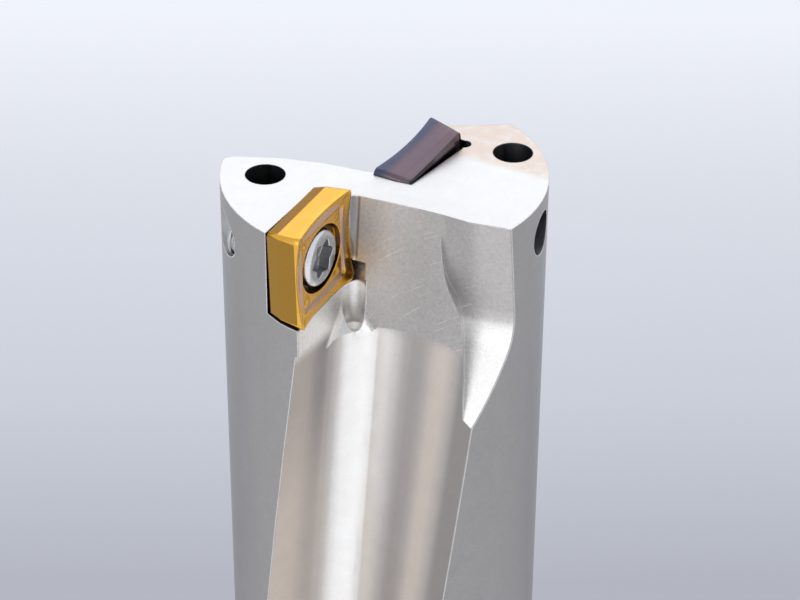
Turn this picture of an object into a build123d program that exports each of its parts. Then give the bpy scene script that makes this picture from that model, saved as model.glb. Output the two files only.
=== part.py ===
from build123d import *
import math
import os

os.makedirs("parts", exist_ok=True)

# Overall lengths and diameters of the drill, in millimetres. Z = 0 is the rear face of the shank.
CUT_DIAMETER = 30.0
BODY_DIAMETER = 29.5
NOSE_LENGTH = 106.0
COLLAR_DIAMETER = 44.0
COLLAR_LENGTH = 13.0
SHANK_DIAMETER = 32.0
SHANK_LENGTH = 60.0
SHANK_CHAMFER = 1.5
COLLAR_CHAMFER = 1.0
ROOT_CONE = 2.5
UNDERCUT_DEPTH = 0.4
UNDERCUT_LENGTH = 3.0
FLAT_DEPTH = 2.0
FLAT_ANGLE = 0.0
FLAT_REAR_LAND = 6.0
FLAT_FRONT_LAND = 8.0

# Helical chip flutes. Angles are measured about the axis, from +X, at the top of the helical part.
FLUTE_LEAD = 652.0
FLUTE_TOP_DROP = 11.6
FLUTE_SIDE_ANGLE = 176.1
FLUTE_SIDE_SLOPE = -5.4
FLUTE_WEB = 6.12
FLUTE_WEB_SLOPE = 0.95
FLUTE_FILLET = 3.2
FLUTE_MIDDLE_ANGLE = 210.3
RUNOUT_ANGLE = 32.0
RUNOUT_BLEND = 22.0
RUNOUT_CLEARANCE = 7.0
RUNOUT_CORE = 2.0

# Coolant supply: inlet bore in the shank, two slanting branches and two twisted channels, each of which
# follows its helix in chords.
INLET_DIAMETER = 12.0
INLET_CHAMFER = 1.2
INLET_DEPTH = 52.0
INLET_FLOOR_RADIUS = 0.4
CHANNEL_DIAMETER = 3.65
BRANCH_OVERLAP = 1.0
CHANNEL_START = 8.0
CHANNEL_CHORDS = 8
LEFT_CHANNEL = (10.68, 120.5)
RIGHT_CHANNEL = (12.2, -44.9)

# Rake face of the peripheral insert, and the seat wall that stands back from it.
RAKE_Y = 0.35
SEAT_STEP = 0.385
SEAT_WALL_Y = RAKE_Y + SEAT_STEP

# Chip gullet in front of the peripheral insert: web wall outline at the end face and deep down, each a
# corner, the middle and end of a shallow arc, and a point outside the body.
WEB_WALL_TOP = [(-4.75, SEAT_WALL_Y), (-4.17, -5.6), (-4.16, -8.1), (-4.62, -22.0)]
WEB_WALL_DEEP = [(-6.2, SEAT_WALL_Y), (-6.75, -5.6), (-6.86, -11.9), (-7.0, -22.0)]
GULLET_DEPTH = 15.0
CORNER_START = 10.0
CORNER_SHARP = 0.7
CORNER_DEEP = 5.0
GROOVE_RADIUS = 1.1
GROOVE_CENTRE = (-5.9, -0.05)
GROOVE_TOP = 8.0
GROOVE_BOTTOM = 13.3
GROOVE_POINT = 1.2
GROOVE_TIP_RADIUS = 0.1

# Relief facet beside that gullet and the ramp it runs out on. FACET_SIDE is its curved side towards the
# gullet: distance from the axis across the turned direction, and height above the end face.
FACET_TURN = 10.6
FACET_OFFSET = 6.1
FACET_LEAN = 5.1
FACET_SIDE_TURN = 14.8
FACET_SIDE = [(5.2, 6.0), (5.35, -2.6), (5.6, -5.0), (6.03, -6.7), (6.88, -8.4), (7.33, -10.5), (7.53, -13.5),
              (7.62, -17.0), (7.64, -22.0), (7.64, -30.0)]
RAMP_DROP = 11.4
RAMP_ANGLE = 29.25
RAMP_BLEND = 7.0

# Chip gullet in front of the central insert.
FAR_WEB = [(-0.35, 0.45), (-0.6, 1.55), (-1.08, 5.39), (-1.97, 9.03), (-3.6, 12.85), (-4.0, 13.5),
           (-4.55, 13.88), (-5.5, 14.2), (-9.0, 19.0)]
FAR_SEAT_INNER = (-0.35, 0.22)
FAR_SEAT_OUTER = (22.0, -2.75)
FAR_SEAT_LEAN = 0.45
FAR_DEPTH = 9.4
FAR_RAMP_DEPTH = 22.5
FAR_RAMP_INSET = 0.3
FAR_RAMP_INNER_Y = -0.2
FAR_RAMP_OUTER_Y = -1.2
SHOULDER_TURN = 212.3
SHOULDER_OFFSET = 8.09
SHOULDER_LEAN = 0.5
SHOULDER_DROP = 9.0
SHOULDER_ANGLE = 30.0
SHOULDER_BLEND = 7.0

# Square indexable insert. Depths are below the plane through the four corners of the rake face.
INSERT_HALF = 4.7625
INSERT_CORNER = 0.5
WAIST_CORNER = 0.45
BACK_CORNER = 0.4
INSERT_THICKNESS = 3.75
PRIMARY_HEIGHT = 2.3
PRIMARY_RELIEF = 5.0
SECONDARY_RELIEF = 14.0
EDGE_DIP = 0.38
BAND_HALF = 3.75
BAND_DEPTH = 0.34
FLOOR_HALF = 2.8
FLOOR_DEPTH = 0.7
FLOOR_CORNER = 0.35
CONE_ANGLE = 30.0
MOUTH_CLEARANCE = 0.5
SCREW_HOLE_CLEARANCE = 0.25

# Insert positions: height of the tip above the end face, turn about the axis, roll in the rake plane.
PERIPHERAL_TIP = 1.08
PERIPHERAL_ROLL = 2.5
CENTRAL_CENTRE = (4.4, -0.06)
CENTRAL_TIP = 1.88
CENTRAL_TURN = 7.6
CENTRAL_ROLL = 9.0

# Insert pockets: gap outside the central insert, corner reliefs, tapped hole and exit bore.
CENTRAL_GAP = 0.34
POCKET_RELIEF = 1.35
RELIEF_SHIFT = (0.1, 0.15)
RELIEF_RISE = 1.3
SLOT_RADIUS = 0.675
SLOT_SHIFT = 0.55
SLOT_RISE = 0.35
SLOT_FOOT = 7.0
TAPPED_DEPTH = 4.4
EXIT_CLEARANCE = 0.3

# Insert screw, countersunk with a six-lobed socket.
HEAD_RADIUS = 2.6
HEAD_RECESS = 0.58
HEAD_RIM = 0.55
HEAD_CHAMFER = 0.18
THREAD_RADIUS = 1.75
SCREW_LENGTH = 9.0
SCREW_END_CHAMFER = 0.4
THREAD_CLEARANCE = 0.05
SOCKET_OUTER = 1.675
SOCKET_INNER = 1.19
SOCKET_FLANK = 1.48
LOBE_HALF_ANGLE = 11.0
SOCKET_DEPTH = 1.15

COLLAR_Z = SHANK_LENGTH + COLLAR_LENGTH
END_Z = COLLAR_Z + NOSE_LENGTH
BODY_RADIUS = BODY_DIAMETER / 2
TWIST = 360.0 / FLUTE_LEAD
FLUTE_TOP_Z = END_Z - FLUTE_TOP_DROP
FLUTE_END_Z = COLLAR_Z + RUNOUT_CLEARANCE

# Cutters reach this far sideways past the body, and this far past the faces that they open.
OUTSIDE = 22.0
OPENING = 6.0
UPWARD = (Align.CENTER, Align.CENTER, Align.MIN)
DOWNWARD = (Align.CENTER, Align.CENTER, Align.MAX)


def polar(radius, angle):
    """Point on a circle about the axis."""
    return (radius * math.cos(math.radians(angle)), radius * math.sin(math.radians(angle)))


def flat_face(points, z):
    """Polygon face at height z."""
    corners = [Vector(x, y, z) for x, y in points]
    return make_face(Polyline(*corners, close=True))


def prism_between(lower, z_low, upper, z_high):
    """Ruled solid between two polygons with the same number of corners."""
    low = flat_face(lower, z_low).face().outer_wire()
    high = flat_face(upper, z_high).face().outer_wire()
    return Solid.make_loft([low, high], ruled=True)


def section_wire(side_point, web_points, radius, z):
    """Closed outline of a flute section: seat side, rounded corner, web side, and clear outside.

    The web side is straight between two points, and starts with an arc where there are four."""
    corner, a, b = Vector(*web_points[0]), Vector(*side_point), Vector(*web_points[1])
    u, v = (a - corner).normalized(), (b - corner).normalized()
    half = math.acos(u.dot(v)) / 2
    reach = radius / math.tan(half)
    p, q = corner + u * reach, corner + v * reach
    mid = corner + (u + v).normalized() * (radius / math.sin(half) - radius)
    lift = Vector(0, 0, z)
    edges = [Line(a + lift, p + lift), ThreePointArc(p + lift, mid + lift, q + lift)]
    chain = [q] + [Vector(*w) for w in web_points[1:]] + [Vector(-OUTSIDE, -OUTSIDE), a]
    if len(web_points) == 4:
        edges.append(ThreePointArc(q + lift, chain[1] + lift, chain[2] + lift))
        chain = chain[2:]
    edges += [Line(m + lift, n + lift) for m, n in zip(chain, chain[1:])]
    return Wire([e.edge() for e in edges])


def flute_top_wire(z):
    """Flute section where the helical part begins, with the seat side facing -Y."""
    edge_x, edge_y = polar(BODY_RADIUS, FLUTE_SIDE_ANGLE)
    slope = math.tan(math.radians(FLUTE_SIDE_SLOPE))
    side = (-OUTSIDE, edge_y + slope * (-OUTSIDE - edge_x))
    corner = (-FLUTE_WEB, edge_y + slope * (-FLUTE_WEB - edge_x))
    drift = math.tan(math.radians(FLUTE_WEB_SLOPE)) * (OUTSIDE + corner[1])
    return section_wire(side, [corner, (-FLUTE_WEB - drift, -OUTSIDE)], FLUTE_FILLET, z)


def gullet_wire(depth, radius):
    """Section of the gullet in front of the peripheral insert at a depth below the end face."""
    t = depth / GULLET_DEPTH
    web = [(a[0] + t * (b[0] - a[0]), a[1] + t * (b[1] - a[1])) for a, b in zip(WEB_WALL_TOP, WEB_WALL_DEEP)]
    return section_wire((-OUTSIDE, SEAT_WALL_Y), web, radius, END_Z - depth)


def ramp_cut(turn, offset, lean, drop, angle, blend, near, far):
    """Cutter for a leaning facet that runs out on a ramp; turn is the facet's direction from -X."""
    spin = math.radians(turn)
    out_dir = Vector(-math.cos(spin), -math.sin(spin), 0)
    inner = offset - drop * math.tan(math.radians(lean))
    top = (offset + OPENING * math.tan(math.radians(lean)), OPENING)
    end = (inner + OUTSIDE * math.tan(math.radians(angle)), -drop - OUTSIDE)
    line = FilletPolyline(top, (inner, -drop), end, radius=blend)
    rest = Polyline(end, (2 * OUTSIDE, end[1]), (2 * OUTSIDE, OPENING), top)
    face = make_face(line.edges() + rest.edges())
    plane = Plane(origin=(0, 0, END_Z), x_dir=out_dir, z_dir=out_dir.cross(Vector(0, 0, 1)))
    return extrude(plane.offset(near) * face, amount=far - near)


def relief_facet():
    """Facet and ramp beside the near gullet, cut off along a curved side towards the gullet."""
    cut = ramp_cut(FACET_TURN, FACET_OFFSET, FACET_LEAN, RAMP_DROP, RAMP_ANGLE, RAMP_BLEND,
                   -OPENING, -OUTSIDE)
    along = math.radians(180 + FACET_TURN + FACET_SIDE_TURN)
    across = Vector(-math.sin(along), math.cos(along), 0)
    plane = Plane(origin=(0, 0, END_Z), x_dir=across, z_dir=across.cross(Vector(0, 0, 1)))
    top, foot = FACET_SIDE[0], FACET_SIDE[-1]
    rest = Polyline(foot, (-2 * OUTSIDE, foot[1]), (-2 * OUTSIDE, top[1]), top)
    face = make_face(Spline(*FACET_SIDE).edges() + rest.edges())
    return cut - extrude(plane * face, amount=2 * OUTSIDE, both=True)


def runout_envelope():
    """Space outside the curved floor on which the near flute runs out towards the collar."""
    middle = math.radians(FLUTE_MIDDLE_ANGLE - TWIST * (FLUTE_TOP_Z - FLUTE_END_Z))
    out_dir = Vector(math.cos(middle), math.sin(middle), 0)
    slope = math.tan(math.radians(RUNOUT_ANGLE))
    corner = (RUNOUT_CORE, FLUTE_END_Z + (BODY_RADIUS - RUNOUT_CORE) / slope)
    top = (RUNOUT_CORE, FLUTE_TOP_Z + OPENING)
    under = (BODY_RADIUS + OPENING * slope, FLUTE_END_Z - OPENING)
    line = FilletPolyline(under, corner, top, radius=RUNOUT_BLEND)
    rest = Polyline(top, (2 * OUTSIDE, FLUTE_TOP_Z + OPENING), (2 * OUTSIDE, FLUTE_END_Z - OPENING), under)
    face = make_face(line.edges() + rest.edges())
    plane = Plane(origin=(0, 0, 0), x_dir=out_dir, z_dir=out_dir.cross(Vector(0, 0, 1)))
    return extrude(plane * face, amount=2 * OUTSIDE, both=True)


def helical_flute():
    """Near flute cutter; a half turn about the axis gives the other one."""
    start_z = FLUTE_END_Z - OPENING
    height = FLUTE_TOP_Z - start_z
    wire = flute_top_wire(0.0).rotate(Axis.Z, -TWIST * height)
    section = make_face(wire.edges())
    solid = Solid.extrude_linear_with_rotation(section.face(), (0, 0, 0), (0, 0, height), TWIST * height)
    return solid.moved(Location((0, 0, start_z)))


def near_gullet():
    """Gullet in front of the peripheral insert, its deepening corner fillet and corner groove."""
    levels = [(-OPENING, CORNER_SHARP), (CORNER_START, CORNER_SHARP), (GULLET_DEPTH, CORNER_DEEP)]
    cut = Part()
    for upper, lower in zip(levels, levels[1:]):
        cut += Solid.make_loft([gullet_wire(*lower), gullet_wire(*upper)], ruled=True)
    groove = Cylinder(GROOVE_RADIUS, GROOVE_BOTTOM - GROOVE_TOP, align=UPWARD)
    groove += Cone(GROOVE_TIP_RADIUS, GROOVE_RADIUS, GROOVE_POINT, align=DOWNWARD)
    return cut + Pos(*GROOVE_CENTRE, END_Z - GROOVE_BOTTOM) * groove


def far_gullet():
    """Gullet in front of the central insert with its ramp out into the far flute."""
    outer_x, outer_y = FAR_SEAT_OUTER
    inner_x, inner_y = FAR_SEAT_INNER
    outline = FAR_WEB + [(outer_x, FAR_WEB[-1][1])]
    upper = [(inner_x, inner_y)] + outline + [(outer_x, outer_y)]
    middle = [(inner_x, inner_y - FAR_SEAT_LEAN)] + outline + [(outer_x, outer_y - FAR_SEAT_LEAN)]
    middle_z = END_Z - FAR_DEPTH
    ramp_z = END_Z - FAR_RAMP_DEPTH
    spin = math.radians(-TWIST * (FLUTE_TOP_Z - ramp_z))
    floor = FLUTE_WEB + FAR_RAMP_INSET
    flat = [(floor, FAR_RAMP_INNER_Y)] + [(floor, y) for _, y in FAR_WEB]
    flat += [(outer_x, FAR_WEB[-1][1]), (outer_x, FAR_RAMP_OUTER_Y)]
    lower = [(x * math.cos(spin) - y * math.sin(spin), x * math.sin(spin) + y * math.cos(spin))
             for x, y in flat]
    levels = [(lower, ramp_z), (middle, middle_z), (upper, END_Z), (upper, END_Z + OPENING)]
    cut = Part()
    for below, above in zip(levels, levels[1:]):
        cut += prism_between(*below, *above)
    return cut


def coolant_bores():
    """Inlet bore with its slanting branches and the two channels that twist with the flutes."""
    start_z = COLLAR_Z + CHANNEL_START
    rise = (END_Z + OPENING - start_z) / CHANNEL_CHORDS
    inlet = INLET_DIAMETER / 2
    bores = Part() + Cylinder(inlet, INLET_DEPTH, align=UPWARD)
    bores += Pos(0, 0, INLET_DEPTH) * Cone(inlet, INLET_FLOOR_RADIUS, inlet, align=UPWARD)
    bores += Cone(inlet + INLET_CHAMFER, inlet, INLET_CHAMFER, align=UPWARD)
    for radius, angle in (LEFT_CHANNEL, RIGHT_CHANNEL):
        heights = [start_z + k * rise for k in range(CHANNEL_CHORDS + 1)]
        route = [Vector(*polar(radius, angle - TWIST * (END_Z - z)), z) for z in heights]
        foot_angle = angle - TWIST * (END_Z - start_z)
        foot = Vector(*polar(INLET_DIAMETER / 4, foot_angle), INLET_DEPTH - BRANCH_OVERLAP)
        disc = Plane(origin=foot, z_dir=(route[0] - foot).normalized()) * Circle(CHANNEL_DIAMETER / 2)
        bores += sweep(disc, Polyline(foot, *route), transition=Transition.RIGHT)
    return bores


def rolled_reach(roll):
    """Distance from an insert's centre to its furthest point along the axis, for a roll in degrees."""
    turned = math.cos(math.radians(roll)) + math.sin(math.radians(roll))
    return (INSERT_HALF - INSERT_CORNER) * turned + INSERT_CORNER


def insert_plane(central):
    """Frame of an insert: rake centre, x towards the axis, y towards the tip, z out of the rake."""
    if not central:
        roll = math.radians(PERIPHERAL_ROLL)
        reach = rolled_reach(PERIPHERAL_ROLL)
        centre = (reach - CUT_DIAMETER / 2, RAKE_Y, END_Z + PERIPHERAL_TIP - reach)
        return Plane(origin=centre, x_dir=(math.cos(roll), 0, math.sin(roll)), z_dir=(0, -1, 0))
    turn, roll = math.radians(CENTRAL_TURN), math.radians(CENTRAL_ROLL)
    normal = Vector(math.sin(turn), math.cos(turn), 0)
    inward = Vector(-math.cos(turn), math.sin(turn), 0)
    x_dir = inward * math.cos(roll) - Vector(0, 0, 1) * math.sin(roll)
    centre_z = END_Z + CENTRAL_TIP - rolled_reach(CENTRAL_ROLL)
    return Plane(origin=(*CENTRAL_CENTRE, centre_z), x_dir=x_dir, z_dir=normal)


def flank_half(depth):
    """Half width of the insert at a depth below the corner plane."""
    primary = math.tan(math.radians(PRIMARY_RELIEF))
    secondary = math.tan(math.radians(SECONDARY_RELIEF))
    if depth <= PRIMARY_HEIGHT:
        return INSERT_HALF - depth * primary
    return INSERT_HALF - PRIMARY_HEIGHT * primary - (depth - PRIMARY_HEIGHT) * secondary


def square_wire(half, z, corner):
    """Square outline with rounded corners."""
    return Pos(0, 0, z) * RectangleRounded(2 * half, 2 * half, corner).face().outer_wire()


def square_frustum(half_low, z_low, half_high, z_high, corner_low, corner_high):
    """Ruled solid between two rounded squares."""
    wires = [square_wire(half_low, z_low, corner_low), square_wire(half_high, z_high, corner_high)]
    return Part() + Solid.make_loft(wires, ruled=True)


def indexable_insert():
    """Insert in its own frame, with the corners of the rake face at z = 0."""
    steps = [INSERT_THICKNESS, PRIMARY_HEIGHT, 0.0]
    radii = [BACK_CORNER, WAIST_CORNER, INSERT_CORNER]
    body = Part()
    for k in (0, 1):
        body += square_frustum(flank_half(steps[k]), -steps[k], flank_half(steps[k + 1]), -steps[k + 1],
                               radii[k], radii[k + 1])
    span = INSERT_HALF - INSERT_CORNER
    trough_radius = (span ** 2 + EDGE_DIP ** 2) / (2 * EDGE_DIP)
    trough = Cylinder(trough_radius, 4 * INSERT_HALF, rotation=(90, 0, 0))
    for turn in (0, 90):
        body -= Rot(0, 0, turn) * Pos(0, 0, trough_radius - EDGE_DIP) * trough
    slope = (BAND_HALF - FLOOR_HALF) / (FLOOR_DEPTH - BAND_DEPTH)
    brim = FLOOR_HALF + slope * (FLOOR_DEPTH + BAND_DEPTH)
    body -= square_frustum(FLOOR_HALF, -FLOOR_DEPTH, brim, BAND_DEPTH, FLOOR_CORNER, FLOOR_CORNER)
    return body - cone_hole()


def cone_hole():
    """Stepped hole: mouth, cone and bore; the cone meets the screw head's rim at its contact depth."""
    mouth, bore = HEAD_RADIUS + MOUTH_CLEARANCE, THREAD_RADIUS + SCREW_HOLE_CLEARANCE
    z_low, z_high = -INSERT_THICKNESS - OPENING, OPENING
    rim = -HEAD_RECESS - HEAD_RIM
    bore_z = rim - (HEAD_RADIUS - bore) / math.tan(math.radians(CONE_ANGLE))
    points = [(0, z_low), (bore, z_low), (bore, bore_z), (HEAD_RADIUS, rim), (mouth, rim), (mouth, z_high),
              (0, z_high)]
    face = make_face(Polyline(*[Vector(r, 0, z) for r, z in points], close=True))
    return revolve(face, Axis.Z, 360)


def insert_screw():
    """Countersunk screw in the insert's frame."""
    slope = math.tan(math.radians(CONE_ANGLE))
    top = -HEAD_RECESS
    rim = top - HEAD_RIM
    neck = rim - (HEAD_RADIUS - THREAD_RADIUS) / slope
    end = top - SCREW_LENGTH
    points = [(0, top), (HEAD_RADIUS - HEAD_CHAMFER * 2, top), (HEAD_RADIUS, top - HEAD_CHAMFER),
              (HEAD_RADIUS, rim), (THREAD_RADIUS, neck), (THREAD_RADIUS, end + SCREW_END_CHAMFER),
              (THREAD_RADIUS - SCREW_END_CHAMFER, end), (0, end)]
    face = make_face(Polyline(*[Vector(r, 0, z) for r, z in points], close=True))
    return revolve(face, Axis.Z, 360) - six_lobe_socket(top)


def six_lobe_socket(top):
    """Six-lobed socket cutter below the given height."""
    edges = []
    for k in range(6):
        a, b, w = 60 * k, 60 * (k + 1), LOBE_HALF_ANGLE
        lobe = [polar(SOCKET_FLANK, a - w), polar(SOCKET_OUTER, a), polar(SOCKET_FLANK, a + w)]
        dip = [polar(SOCKET_FLANK, a + w), polar(SOCKET_INNER, (a + b) / 2), polar(SOCKET_FLANK, b - w)]
        for three in (lobe, dip):
            edges.append(ThreePointArc(*[Vector(x, y, 0) for x, y in three]).edge())
    face = Pos(0, 0, top - SOCKET_DEPTH) * make_face(edges)
    return extrude(face, amount=SOCKET_DEPTH + HEAD_RECESS, dir=(0, 0, 1))


def insert_pocket(central):
    """Pocket cutter in the insert's frame, open towards the tip; only the outer pocket reaches the rim."""
    outer = -INSERT_HALF - CENTRAL_GAP if central else -OUTSIDE

    def corners(depth):
        w = flank_half(depth)
        return [(outer, -w), (w, -w), (w, OUTSIDE), (outer, OUTSIDE)]

    cut = Part()
    for low, high in ((INSERT_THICKNESS, PRIMARY_HEIGHT), (PRIMARY_HEIGHT, 0.0)):
        cut += prism_between(corners(low), -low, corners(high), -high)
    w = flank_half(INSERT_THICKNESS)
    shift_x, shift_y = RELIEF_SHIFT
    relief = Cylinder(POCKET_RELIEF, INSERT_THICKNESS + RELIEF_RISE, align=UPWARD)
    cut += Pos(w + shift_x, shift_y - w, -INSERT_THICKNESS) * relief
    if central:
        slot = Cylinder(SLOT_RADIUS, OUTSIDE + SLOT_FOOT, rotation=(90, 0, 0))
        cut += Pos(outer + SLOT_SHIFT, (OUTSIDE - SLOT_FOOT) / 2, SLOT_RISE - INSERT_THICKNESS) * slot
    cut += Cylinder(THREAD_RADIUS + THREAD_CLEARANCE, INSERT_THICKNESS + TAPPED_DEPTH, align=DOWNWARD)
    exit_bore = Cylinder(THREAD_RADIUS + EXIT_CLEARANCE, OUTSIDE, align=DOWNWARD)
    return cut + Pos(0, 0, -INSERT_THICKNESS - TAPPED_DEPTH) * exit_bore


def drill_body():
    """Shank, collar and fluted body in one piece, with pockets, flutes and coolant bores."""
    r_shank, r_collar = SHANK_DIAMETER / 2, COLLAR_DIAMETER / 2
    r_undercut = r_shank - UNDERCUT_DEPTH
    undercut_z = SHANK_LENGTH - UNDERCUT_LENGTH
    points = [(0, 0), (r_shank - SHANK_CHAMFER, 0), (r_shank, SHANK_CHAMFER), (r_shank, undercut_z),
              (r_undercut, undercut_z), (r_undercut, SHANK_LENGTH), (r_collar - COLLAR_CHAMFER, SHANK_LENGTH),
              (r_collar, SHANK_LENGTH + COLLAR_CHAMFER), (r_collar, COLLAR_Z - COLLAR_CHAMFER),
              (r_collar - COLLAR_CHAMFER, COLLAR_Z), (BODY_RADIUS + ROOT_CONE, COLLAR_Z),
              (BODY_RADIUS, COLLAR_Z + ROOT_CONE), (BODY_RADIUS, END_Z), (0, END_Z)]
    face = make_face(Polyline(*[Vector(r, 0, z) for r, z in points], close=True))
    body = Part() + revolve(face, Axis.Z, 360)
    flat_length = SHANK_LENGTH - FLAT_REAR_LAND - FLAT_FRONT_LAND
    flat = Pos(r_shank, 0, FLAT_REAR_LAND) * Box(2 * FLAT_DEPTH, SHANK_DIAMETER, flat_length, align=UPWARD)
    body -= Rot(0, 0, FLAT_ANGLE) * flat
    flute = (Part() + helical_flute()) & runout_envelope()
    body -= flute
    body -= flute.rotate(Axis.Z, 180)
    body -= near_gullet()
    body -= relief_facet()
    body -= far_gullet()
    body -= ramp_cut(SHOULDER_TURN, SHOULDER_OFFSET, SHOULDER_LEAN, SHOULDER_DROP, SHOULDER_ANGLE,
                     SHOULDER_BLEND, -OUTSIDE, OUTSIDE)
    body -= coolant_bores()
    for central in (False, True):
        body -= insert_plane(central) * insert_pocket(central)
    return body


def place(shape, central):
    """Shape moved from the insert's frame into the drill."""
    return insert_plane(central) * shape


insert = indexable_insert()
screw = insert_screw()
export_step(drill_body(), "parts/drill_body.step")
export_step(place(insert, False), "parts/peripheral_insert.step")
export_step(place(screw, False), "parts/peripheral_insert_screw.step")
export_step(place(insert, True), "parts/central_insert.step")
export_step(place(screw, True), "parts/central_insert_screw.step")
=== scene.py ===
import logging
import math
from dataclasses import dataclass, field
from enum import Enum
from typing import Callable, Sequence, Union

import bmesh
import bpy
from mathutils import Matrix, Quaternion, Vector


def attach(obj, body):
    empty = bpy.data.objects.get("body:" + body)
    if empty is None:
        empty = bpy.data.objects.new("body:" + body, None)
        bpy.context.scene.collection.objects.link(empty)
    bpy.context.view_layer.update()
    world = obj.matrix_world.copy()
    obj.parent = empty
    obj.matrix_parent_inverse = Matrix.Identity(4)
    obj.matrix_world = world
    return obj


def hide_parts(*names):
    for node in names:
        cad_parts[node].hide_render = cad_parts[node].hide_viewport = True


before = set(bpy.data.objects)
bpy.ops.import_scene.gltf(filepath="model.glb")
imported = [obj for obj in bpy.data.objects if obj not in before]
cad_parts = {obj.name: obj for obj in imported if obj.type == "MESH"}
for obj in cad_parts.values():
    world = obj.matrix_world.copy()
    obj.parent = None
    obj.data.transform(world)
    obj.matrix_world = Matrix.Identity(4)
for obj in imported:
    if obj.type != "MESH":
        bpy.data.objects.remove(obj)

log = logging.getLogger("indexable_drill")

MM = 0.001
ROOT_BODY = "root"

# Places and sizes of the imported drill, in millimetres and degrees.
END_Z = 179.0
COLLAR_Z = 73.0
BODY_RADIUS = 14.75
CUT_RADIUS = 15.0
FLUTE_LEAD = 652.0
CHANNEL_RADIUS = 1.825
CHANNELS = ((10.68, 120.5), (12.2, -44.9))
INSERT_HALF = 4.7625
INSERT_CORNER = 0.5
PERIPHERAL_RAKE_Y = 0.35
CENTRAL_X, CENTRAL_Y = 4.4, -0.06
CENTRAL_TURN = 7.6
COUNTERSINK = 30.0

Colour = tuple[float, float, float]
Span = tuple[float, float]
Socket = bpy.types.NodeSocket
Number = Union[float, "Value"]


class Slot(Enum):
    """Material slots of the record."""

    BODY = "body_steel"
    GOLD = "gold_coating"
    DARK = "dark_coating"
    SCREW = "screw_steel"


class Seat(Enum):
    """The two insert seats: name, height of the tip above the end face, and roll in degrees."""

    PERIPHERAL = ("peripheral", 1.08, 2.5)
    CENTRAL = ("central", 1.88, 9.0)

    def __init__(self, label: str, tip: float, roll: float) -> None:
        """Keeps the seat's sizes.

        Args:
            label: The start of the seat's node names.
            tip: Height of the insert's tip above the end face in millimetres.
            roll: Turn of the insert in its rake plane in degrees.
        """
        self.label = label
        self.tip = tip
        self.roll = roll


class Value:
    """A number socket of a shader graph whose arithmetic adds Math nodes."""

    def __init__(self, graph: "ShaderGraph", socket: Socket) -> None:
        """Wraps a socket.

        Args:
            graph: The graph that owns the socket.
            socket: An output socket that carries one number.
        """
        self.graph = graph
        self.socket = socket

    def _math(self, operation: str, *terms: Number) -> "Value":
        """Adds one Math node.

        Args:
            operation: The Math node's operation.
            terms: Its inputs in order, numbers or values.

        Returns:
            The node's result.
        """
        node = self.graph.make("Math", {"operation": operation}, dict(enumerate(terms)))
        return Value(self.graph, node.outputs[0])

    def __add__(self, other: Number) -> "Value":
        """Sum."""
        return self._math("ADD", self, other)

    __radd__ = __add__

    def __sub__(self, other: Number) -> "Value":
        """Difference."""
        return self._math("SUBTRACT", self, other)

    def __rsub__(self, other: Number) -> "Value":
        """Difference from a number."""
        return self._math("SUBTRACT", other, self)

    def __mul__(self, other: Number) -> "Value":
        """Product."""
        return self._math("MULTIPLY", self, other)

    __rmul__ = __mul__

    def __truediv__(self, other: Number) -> "Value":
        """Quotient."""
        return self._math("DIVIDE", self, other)

    def __abs__(self) -> "Value":
        """Absolute value."""
        return self._math("ABSOLUTE", self)

    def sin(self) -> "Value":
        """Sine of an angle in radians."""
        return self._math("SINE", self)

    def cos(self) -> "Value":
        """Cosine of an angle in radians."""
        return self._math("COSINE", self)

    def most(self, other: Number) -> "Value":
        """The larger of two values."""
        return self._math("MAXIMUM", self, other)

    def least(self, other: Number) -> "Value":
        """The smaller of two values."""
        return self._math("MINIMUM", self, other)

    def hypot(self, other: "Value") -> "Value":
        """Length of the vector with these two components."""
        return self._math("SQRT", self * self + other * other)

    def angle_from(self, x: "Value") -> "Value":
        """Direction of the point (x, self) in radians."""
        return self._math("ARCTAN2", self, x)

    def towards(self, goal: float, amount: "Value") -> "Value":
        """Value part of the way to a goal."""
        return self + amount * (goal - self)

    def step(self, low: float, high: float) -> "Value":
        """Smooth step.

        Args:
            low: Where the result is 0.
            high: Where the result is 1; it may lie below low.

        Returns:
            A value from 0 to 1.
        """
        sockets = {"Value": self, "From Min": min(low, high), "From Max": max(low, high)}
        sockets["To Min"], sockets["To Max"] = (0.0, 1.0) if low < high else (1.0, 0.0)
        node = self.graph.make("MapRange", {"interpolation_type": "SMOOTHSTEP"}, sockets)
        return Value(self.graph, node.outputs["Result"])


def inside(*limits: tuple[Value, Span]) -> Value:
    """Product of smooth steps, which is 1 where every value is inside its limits.

    Args:
        limits: Each value with its span: where its step is 0 and where it is 1.

    Returns:
        A value from 0 to 1.
    """
    steps = [value.step(*span) for value, span in limits]
    product = steps[0]
    for step in steps[1:]:
        product = product * step
    return product


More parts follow.
